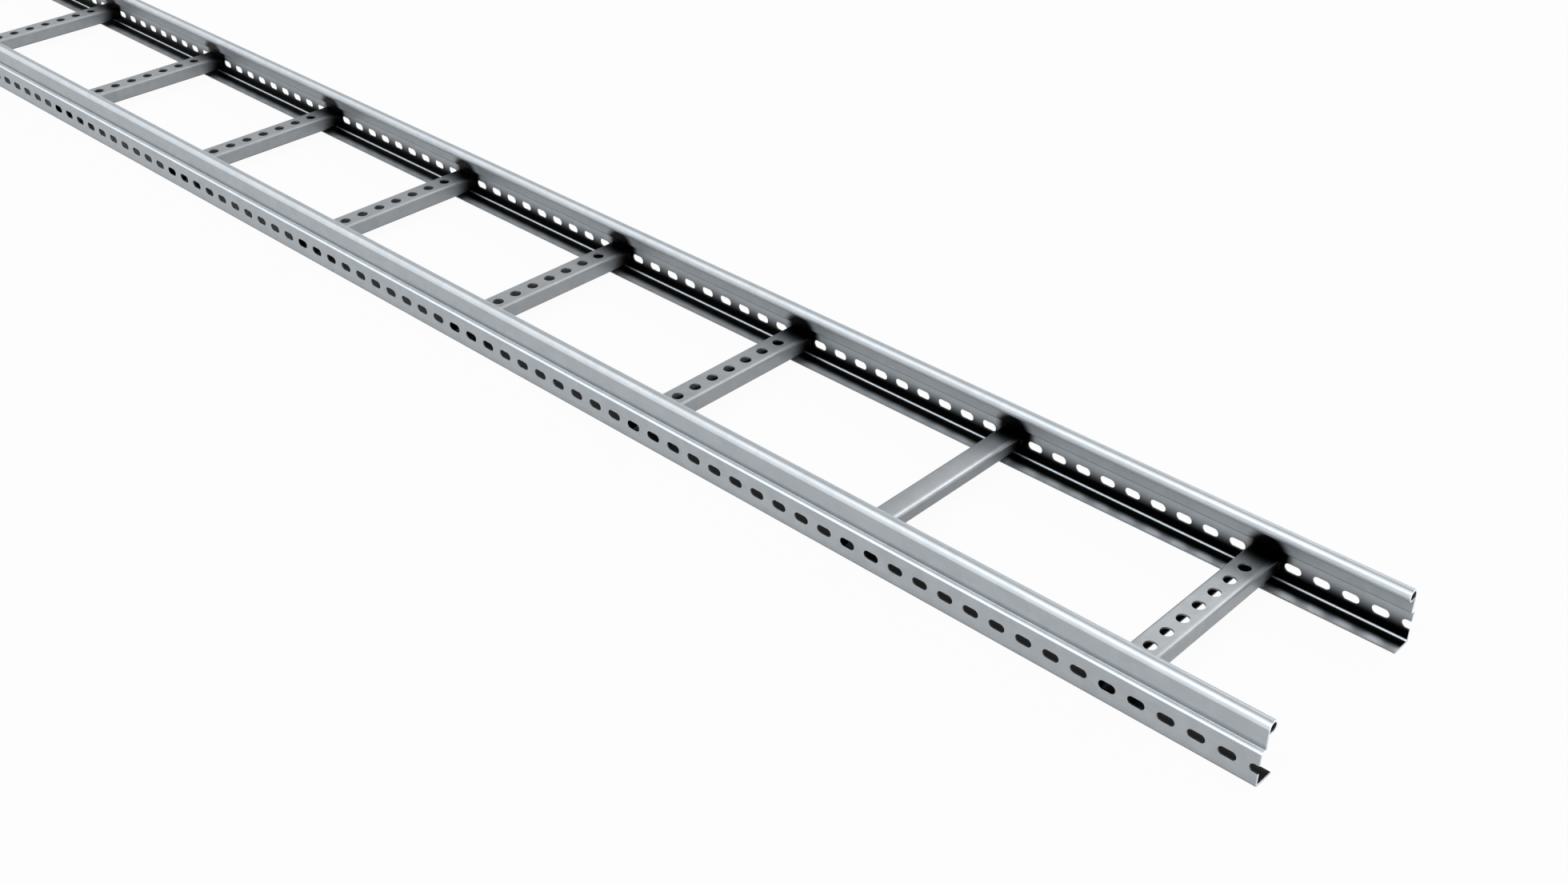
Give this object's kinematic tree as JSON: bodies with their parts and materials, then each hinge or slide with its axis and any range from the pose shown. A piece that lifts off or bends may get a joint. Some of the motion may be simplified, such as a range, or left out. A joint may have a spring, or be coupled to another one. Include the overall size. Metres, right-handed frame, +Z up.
{
  "type": "cable ladder section",
  "caption": "Straight galvanised steel cable ladder section: two slotted side rails with rolled top edges joined by perforated channel rungs.",
  "frame": {"origin": "middle of the underside of the feet, on the level that the ladder rests on", "axes": "+X along the ladder, +Y across it towards the left side rail, +Z up out of the rungs' tops"},
  "size_m": [3, 0.217, 0.055],
  "materials": {
    "galvanised_rail": "pre-galvanised sheet, satin, slightly mottled",
    "galvanised_rung": "pre-galvanised sheet, satin, slightly mottled"
  },
  "bodies": {
    "root": {"side_rail_left": "galvanised_rail", "side_rail_right": "galvanised_rail", "rung_01": "galvanised_rung", "rung_02": "galvanised_rung", "rung_03": "galvanised_rung", "rung_04": "galvanised_rung", "rung_05": "galvanised_rung", "rung_06": "galvanised_rung", "rung_07": "galvanised_rung", "rung_08": "galvanised_rung", "rung_09": "galvanised_rung", "rung_10": "galvanised_rung", "rung_11": "galvanised_rung", "rung_12": "galvanised_rung"}
  },
  "joints": []
}
